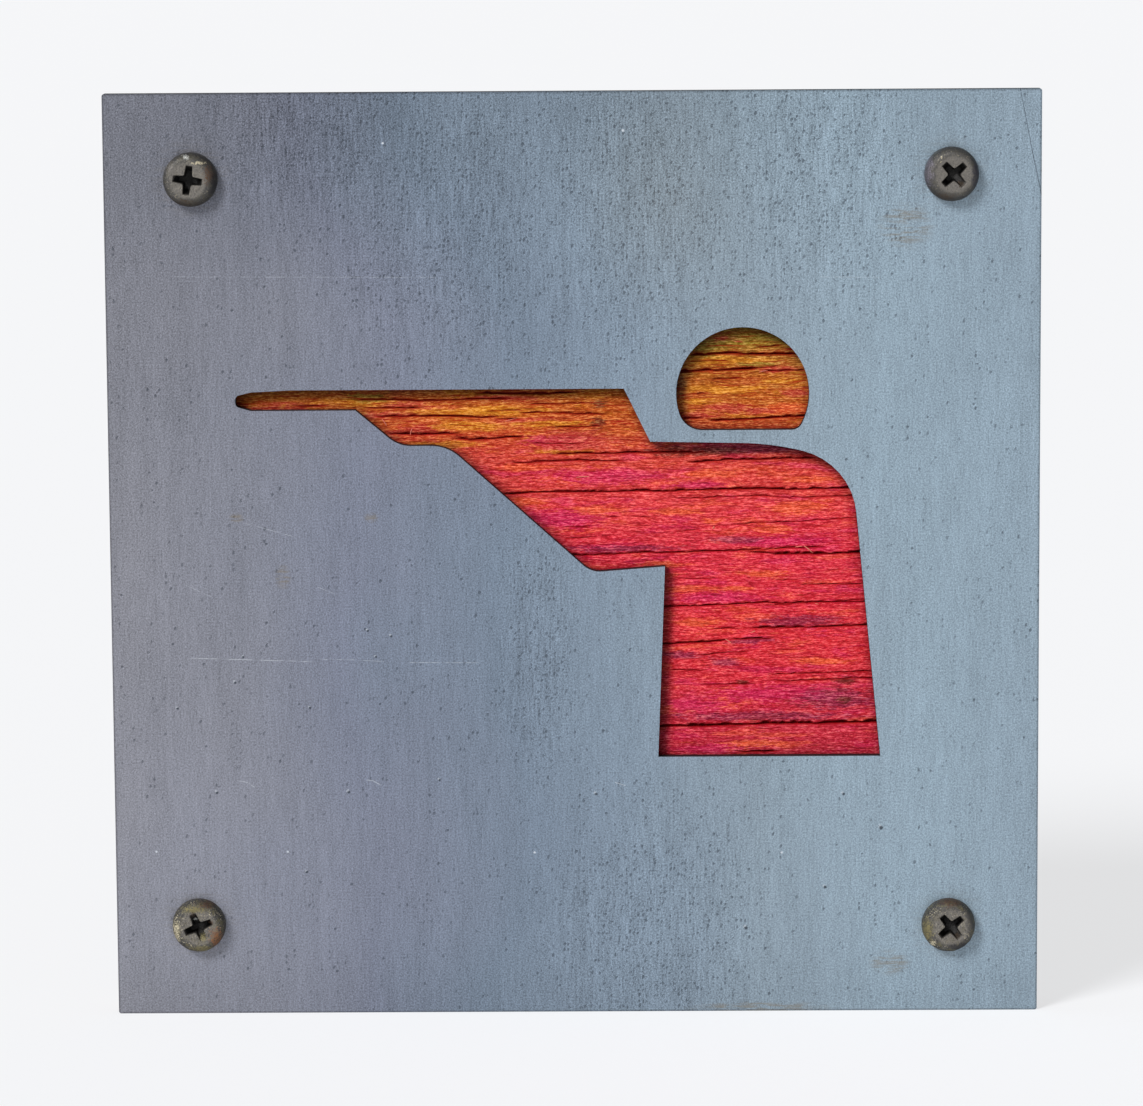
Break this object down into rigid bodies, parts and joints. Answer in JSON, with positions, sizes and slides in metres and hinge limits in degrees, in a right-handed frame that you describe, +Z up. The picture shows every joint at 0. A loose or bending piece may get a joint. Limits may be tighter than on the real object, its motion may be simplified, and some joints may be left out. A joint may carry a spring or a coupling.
{
  "type": "silhouette sign",
  "caption": "Square steel plate sign with a sport shooter's silhouette cut through it, screwed at its corners onto a dyed, weathered softwood board.",
  "frame": {"origin": "middle of the footprint, on the surface that the sign stands on", "axes": "+Z up along the plate's height, -Y out of the front face, +X to the viewer's right when facing the front"},
  "size_m": [0.15, 0.0148, 0.15],
  "materials": {
    "plate_steel": "blue-grey mill scale, matt, with fine streaks and pits",
    "dyed_wood": "weathered softwood, dyed amber at the top to crimson at the bottom, dry and cracked",
    "screw_steel": "dark oxide, worn grey on top, spotted with rust",
    "hanger_steel": "zinc plated, satin",
    "bumper_rubber": "soft matt rubber"
  },
  "bodies": {
    "root": {"face_plate": "plate_steel", "backing_board": "dyed_wood", "screw_top_left": "screw_steel", "screw_top_right": "screw_steel", "screw_bottom_left": "screw_steel", "screw_bottom_right": "screw_steel", "sawtooth_hanger": "hanger_steel", "hanger_nail_left": "hanger_steel", "hanger_nail_right": "hanger_steel", "bumper_left": "bumper_rubber", "bumper_right": "bumper_rubber"}
  },
  "joints": []
}
